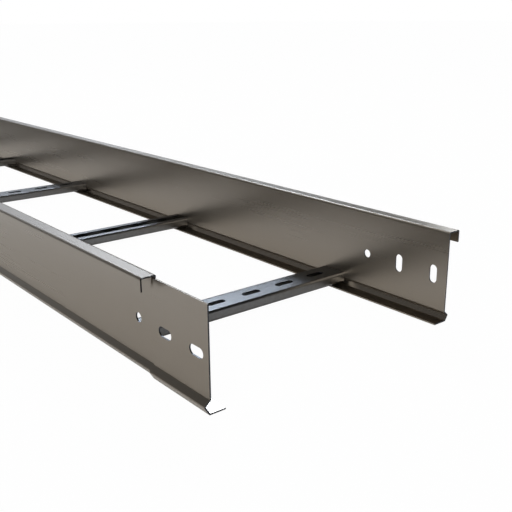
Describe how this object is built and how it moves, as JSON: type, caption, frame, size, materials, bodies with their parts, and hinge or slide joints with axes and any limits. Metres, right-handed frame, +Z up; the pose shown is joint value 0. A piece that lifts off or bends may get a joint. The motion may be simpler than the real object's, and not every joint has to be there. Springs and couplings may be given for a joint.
{
  "type": "cable ladder section",
  "caption": "Straight steel cable ladder with hooked, joggled side rails and welded channel rungs that face up and down in turn.",
  "frame": {"origin": "middle of the length and width, on the plane of the lowest face", "axes": "+X along the ladder, +Y across it, +Z up out of the trough"},
  "size_m": [3, 0.332, 0.1],
  "materials": {
    "rail_steel": "satin pickled stainless sheet, warm grey",
    "rung_steel": "satin stainless sheet, grey"
  },
  "bodies": {
    "root": {"side_rail_left": "rail_steel", "side_rail_right": "rail_steel", "rung_1": "rung_steel", "rung_2": "rung_steel", "rung_3": "rung_steel", "rung_4": "rung_steel", "rung_5": "rung_steel", "rung_6": "rung_steel", "rung_7": "rung_steel", "rung_8": "rung_steel", "rung_9": "rung_steel"}
  },
  "joints": []
}
